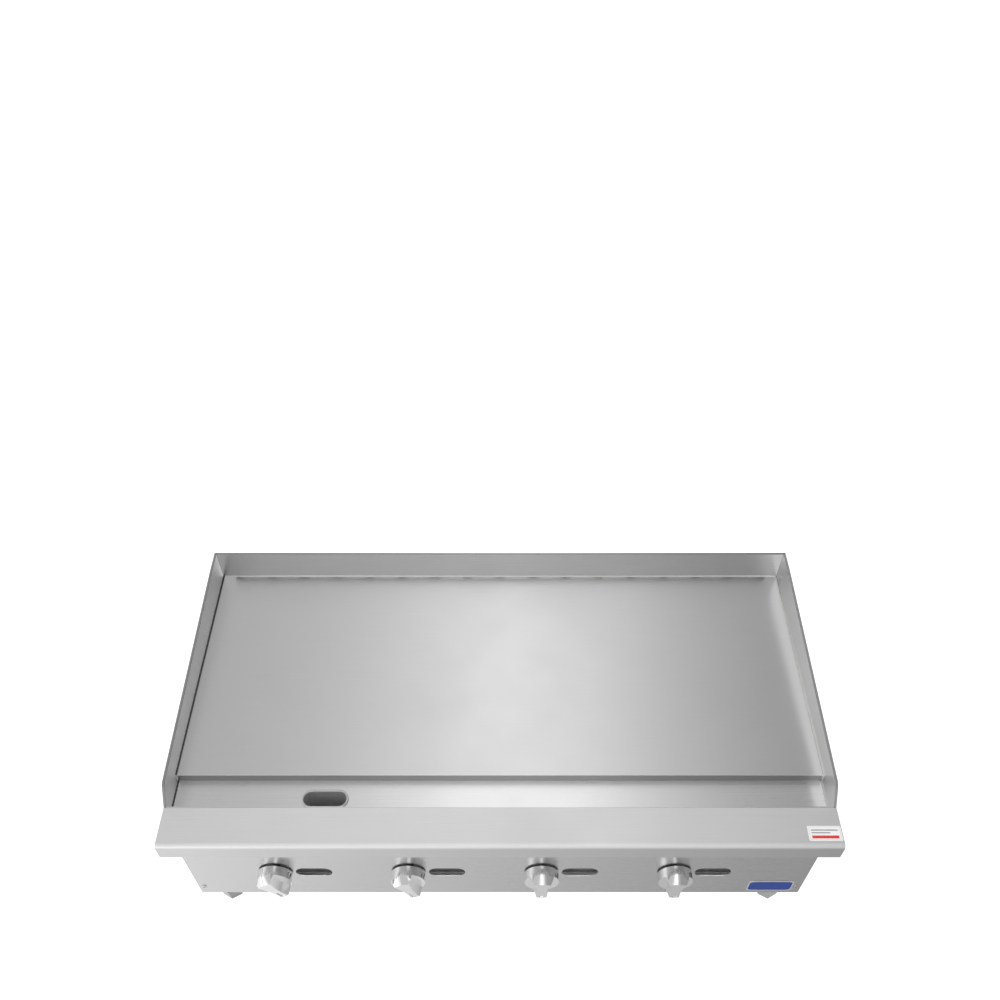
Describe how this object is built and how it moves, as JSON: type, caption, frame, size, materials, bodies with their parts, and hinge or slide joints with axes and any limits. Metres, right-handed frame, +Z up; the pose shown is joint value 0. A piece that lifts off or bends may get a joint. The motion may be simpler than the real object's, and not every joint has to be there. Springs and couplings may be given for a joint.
{
  "type": "flat top griddle",
  "caption": "Countertop gas griddle: a steel cooking plate with splashes, a front grease trough and drawer, and burners worked by front knobs.",
  "frame": {"origin": "on the bench, under the middle of the bounding box", "axes": "+X to the right along the width seen from the front, +Y to the back, +Z up; the knobs face -Y"},
  "size_m": [1.219, 0.754, 0.376],
  "materials": {
    "cooking_plate": "satin",
    "splash_steel": "satin",
    "weld_steel": "satin",
    "trough_steel": "satin",
    "ledge_steel": "satin",
    "panel_steel": "satin",
    "casing_steel": "satin",
    "inner_steel": "satin",
    "burner_steel": "matte",
    "zinc_pipe": "matte",
    "black_pipe": "satin",
    "inlet_steel": "satin",
    "brass": "satin",
    "stem_steel": "satin",
    "pilot_tube": "satin",
    "knob_chrome": "polished",
    "drawer_steel": "satin",
    "handle_steel": "satin",
    "leg_chrome": "polished",
    "fastener_steel": "satin",
    "name_plate_enamel": "gloss",
    "label_film": "satin"
  },
  "bodies": {
    "griddle": {"griddle_plate": "cooking_plate", "back_splash": "splash_steel", "left_splash": "splash_steel", "right_splash": "splash_steel", "plate_welds": "weld_steel", "grease_trough": "trough_steel", "drain_chute": "trough_steel", "front_ledge": "ledge_steel", "front_panel": "panel_steel", "left_side_panel": "casing_steel", "right_side_panel": "casing_steel", "rear_panel": "casing_steel", "flue_riser": "casing_steel", "bottom_panel": "inner_steel", "front_baffle": "inner_steel", "rear_baffle": "inner_steel", "heat_shield": "inner_steel", "plate_supports": "inner_steel", "burner_rests": "inner_steel", "burner_1": "burner_steel", "burner_2": "burner_steel", "burner_3": "burner_steel", "burner_4": "burner_steel", "gas_manifold": "zinc_pipe", "valve_1": "brass", "valve_2": "brass", "valve_3": "brass", "valve_4": "brass", "orifice_hoods": "brass", "pilot_valves": "brass", "pilot_tubes": "pilot_tube", "pilot_burners": "brass", "supply_pipe": "black_pipe", "inlet_nipple": "inlet_steel", "drawer_runners": "inner_steel", "legs": "leg_chrome", "front_screws": "fastener_steel", "rear_screws": "fastener_steel", "leg_bolts": "fastener_steel", "name_plate": "name_plate_enamel", "info_label": "label_film"},
    "control_knob_1": {"knob_1": "knob_chrome", "valve_stem_1": "stem_steel"},
    "control_knob_2": {"knob_2": "knob_chrome", "valve_stem_2": "stem_steel"},
    "control_knob_3": {"knob_3": "knob_chrome", "valve_stem_3": "stem_steel"},
    "control_knob_4": {"knob_4": "knob_chrome", "valve_stem_4": "stem_steel"},
    "shutter_1": {"air_shutter_1": "burner_steel"},
    "shutter_2": {"air_shutter_2": "burner_steel"},
    "shutter_3": {"air_shutter_3": "burner_steel"},
    "shutter_4": {"air_shutter_4": "burner_steel"},
    "drawer": {"grease_drawer": "drawer_steel", "drawer_handle": "handle_steel"},
    "foot_front_left": {"foot_front_left": "leg_chrome"},
    "foot_rear_left": {"foot_rear_left": "leg_chrome"},
    "foot_front_right": {"foot_front_right": "leg_chrome"},
    "foot_rear_right": {"foot_rear_right": "leg_chrome"}
  },
  "joints": [
    {"name": "knob_1_turn", "type": "hinge", "parent": "griddle", "child": "control_knob_1", "pos_m": [-0.421, -0.342, 0.189], "axis": [0, -1, 0], "range_deg": [-35, 55]},
    {"name": "knob_2_turn", "type": "hinge", "parent": "griddle", "child": "control_knob_2", "pos_m": [-0.1715, -0.342, 0.189], "axis": [0, -1, 0], "range_deg": [-25, 65]},
    {"name": "knob_3_turn", "type": "hinge", "parent": "griddle", "child": "control_knob_3", "pos_m": [0.078, -0.342, 0.189], "axis": [0, -1, 0], "range_deg": [0, 90]},
    {"name": "knob_4_turn", "type": "hinge", "parent": "griddle", "child": "control_knob_4", "pos_m": [0.3275, -0.342, 0.189], "axis": [0, -1, 0], "range_deg": [0, 90]},
    {"name": "air_shutter_1_turn", "type": "hinge", "parent": "griddle", "child": "shutter_1", "pos_m": [-0.421, -0.251, 0.189], "axis": [0, -1, 0], "range_deg": [0, 60]},
    {"name": "air_shutter_2_turn", "type": "hinge", "parent": "griddle", "child": "shutter_2", "pos_m": [-0.1715, -0.251, 0.189], "axis": [0, -1, 0], "range_deg": [0, 60]},
    {"name": "air_shutter_3_turn", "type": "hinge", "parent": "griddle", "child": "shutter_3", "pos_m": [0.078, -0.251, 0.189], "axis": [0, -1, 0], "range_deg": [0, 60]},
    {"name": "air_shutter_4_turn", "type": "hinge", "parent": "griddle", "child": "shutter_4", "pos_m": [0.3275, -0.251, 0.189], "axis": [0, -1, 0], "range_deg": [0, 60]},
    {"name": "grease_drawer_slide", "type": "slide", "parent": "griddle", "child": "drawer", "axis": [0, -1, 0], "range_m": [0, 0.26]},
    {"name": "foot_front_left_adjust", "type": "slide", "parent": "griddle", "child": "foot_front_left", "axis": [0, 0, -1], "range_m": [0, 0.02]},
    {"name": "foot_rear_left_adjust", "type": "slide", "parent": "griddle", "child": "foot_rear_left", "axis": [0, 0, -1], "range_m": [0, 0.02]},
    {"name": "foot_front_right_adjust", "type": "slide", "parent": "griddle", "child": "foot_front_right", "axis": [0, 0, -1], "range_m": [0, 0.02]},
    {"name": "foot_rear_right_adjust", "type": "slide", "parent": "griddle", "child": "foot_rear_right", "axis": [0, 0, -1], "range_m": [0, 0.02]}
  ]
}
